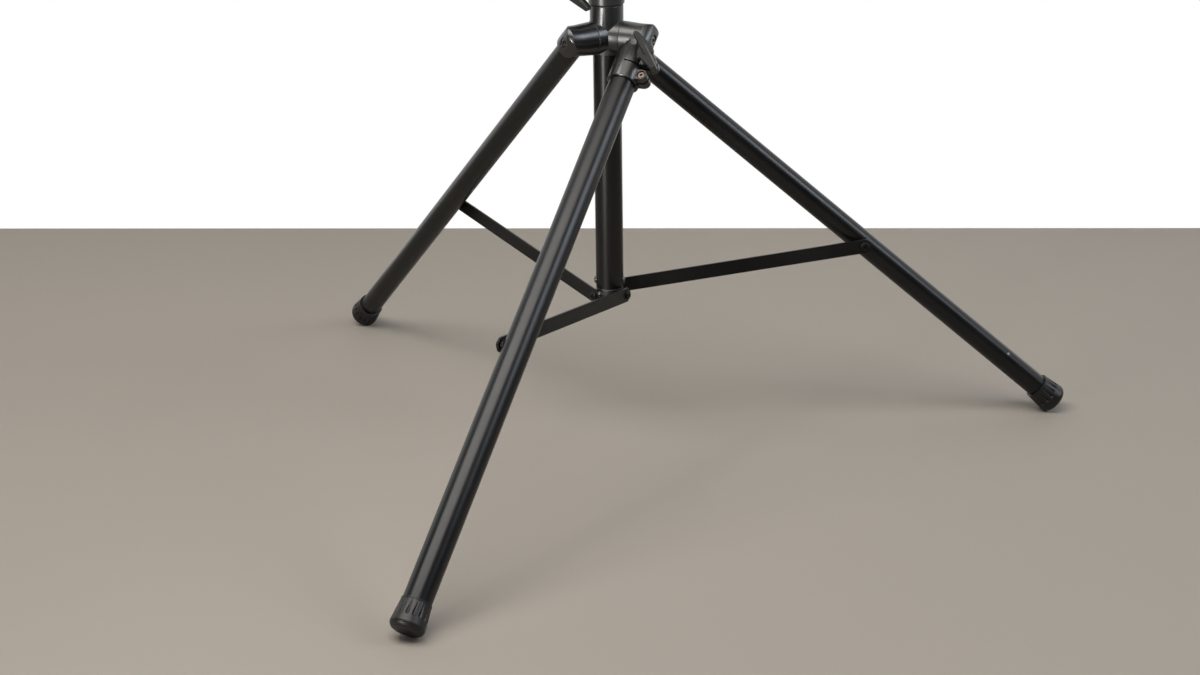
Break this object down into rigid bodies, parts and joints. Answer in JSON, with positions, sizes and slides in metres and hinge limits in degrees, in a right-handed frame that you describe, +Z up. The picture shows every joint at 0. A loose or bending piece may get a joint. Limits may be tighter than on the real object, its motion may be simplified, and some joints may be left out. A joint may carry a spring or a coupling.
{
  "type": "speaker stand",
  "caption": "Folding tripod speaker stand with a telescoping mast, a sliding hub, braced tube legs and one levelling leg.",
  "frame": {"origin": "on the column's axis, at floor level", "axes": "+Z up along the column; the levelling leg points along -Y"},
  "size_m": [1.1616, 1.0546, 1.2995],
  "materials": {
    "black_tube": "satin black powder coat on steel",
    "black_casting": "semi-gloss black on cast aluminium",
    "grey_moulding": "matte dark grey glass-filled nylon",
    "black_strap": "matte black on steel",
    "nylon": "satin black nylon",
    "rubber": "matte",
    "bright_steel": "bright nickel plate",
    "plain_steel": "zinc plated"
  },
  "bodies": {
    "column": {"column": "black_tube", "spreader": "nylon", "spreader_bolt": "plain_steel", "brace_bosses": "bright_steel", "brace_screws": "black_strap", "mast_clamp": "grey_moulding", "mast_clamp_nut": "plain_steel"},
    "hub": {"hub": "black_casting", "hub_bush": "nylon", "hub_washers": "nylon", "hub_collar": "grey_moulding", "hub_collar_nut": "plain_steel", "hub_screws": "plain_steel"},
    "hub_knob": {"hub_knob": "grey_moulding", "hub_knob_stud": "plain_steel"},
    "mast_knob": {"mast_knob": "grey_moulding", "mast_knob_stud": "plain_steel"},
    "mast": {"mast": "black_tube", "mast_guide": "nylon", "mast_cap": "nylon", "cabinet_flange": "black_strap"},
    "safety_pin": {"safety_pin": "bright_steel"},
    "left_leg": {"left_knuckle": "black_casting", "left_leg": "black_tube", "left_rivet": "bright_steel", "left_foot": "rubber"},
    "right_leg": {"right_knuckle": "black_casting", "right_leg": "black_tube", "right_rivet": "bright_steel", "right_foot": "rubber"},
    "left_brace": {"left_brace": "black_strap", "left_brace_bolt": "black_strap"},
    "right_brace": {"right_brace": "black_strap", "right_brace_bolt": "black_strap"},
    "level_sleeve": {"level_sleeve": "black_casting", "level_screw": "plain_steel", "level_nuts": "plain_steel"},
    "level_knob": {"level_knob": "grey_moulding", "level_knob_stud": "plain_steel"},
    "level_leg": {"level_tube": "black_tube", "level_plug": "nylon", "level_foot": "rubber"},
    "level_brace": {"level_brace": "black_strap", "level_brace_bolt": "black_strap"}
  },
  "joints": [
    {"name": "tripod_fold", "type": "slide", "parent": "column", "child": "hub", "axis": [0, 0, 1], "range_m": [0, 0.48182]},
    {"name": "level_leg_fold", "type": "hinge", "parent": "hub", "child": "level_sleeve", "pos_m": [0, 0, 0.58291], "axis": [1, 0, 0], "range_deg": [0, 46.01]},
    {"name": "left_leg_fold", "type": "hinge", "parent": "hub", "child": "left_leg", "pos_m": [0, 0, 0.58291], "axis": [-0.5, -0.866, 0], "range_deg": [0, 46.01]},
    {"name": "right_leg_fold", "type": "hinge", "parent": "hub", "child": "right_leg", "pos_m": [0, 0, 0.58291], "axis": [-0.5, 0.866, 0], "range_deg": [0, 46.01]},
    {"name": "level_brace_fold", "type": "hinge", "parent": "column", "child": "level_brace", "pos_m": [0, 0, 0.22095], "axis": [-1, 0, 0], "range_deg": [0, 78.67]},
    {"name": "left_brace_fold", "type": "hinge", "parent": "column", "child": "left_brace", "pos_m": [0, 0, 0.22095], "axis": [0.5, 0.866, 0], "range_deg": [0, 78.67]},
    {"name": "right_brace_fold", "type": "hinge", "parent": "column", "child": "right_brace", "pos_m": [0, 0, 0.22095], "axis": [0.5, -0.866, 0], "range_deg": [0, 78.67]},
    {"name": "levelling_slide", "type": "slide", "parent": "level_sleeve", "child": "level_leg", "axis": [0, -0.7547, -0.6561], "range_m": [0, 0.02]},
    {"name": "mast_slide", "type": "slide", "parent": "column", "child": "mast", "axis": [0, 0, 1], "range_m": [0, 0.62]},
    {"name": "pin_pull", "type": "slide", "parent": "mast", "child": "safety_pin", "axis": [0, -1, 0], "range_m": [0, 0.07]},
    {"name": "hub_knob_turn", "type": "hinge", "parent": "hub", "child": "hub_knob", "pos_m": [-0.038, 0, 0.64521], "axis": [0, -1, 0], "range_deg": [0, 360]},
    {"name": "mast_knob_turn", "type": "hinge", "parent": "column", "child": "mast_knob", "pos_m": [0.038, 0, 1.17945], "axis": [0, 1, 0], "range_deg": [0, 360]},
    {"name": "level_knob_turn", "type": "hinge", "parent": "level_sleeve", "child": "level_knob", "pos_m": [0.0797, -0.03019, 0.55667], "axis": [0, -0.6561, 0.7547], "range_deg": [0, 360]}
  ],
  "couplings": [
    {"joint": "level_leg_fold", "follows": "tripod_fold", "rad_per_m": 1.6663},
    {"joint": "left_leg_fold", "follows": "tripod_fold", "rad_per_m": 1.6663},
    {"joint": "right_leg_fold", "follows": "tripod_fold", "rad_per_m": 1.6663},
    {"joint": "level_brace_fold", "follows": "tripod_fold", "rad_per_m": 2.8492},
    {"joint": "left_brace_fold", "follows": "tripod_fold", "rad_per_m": 2.8492},
    {"joint": "right_brace_fold", "follows": "tripod_fold", "rad_per_m": 2.8492}
  ]
}
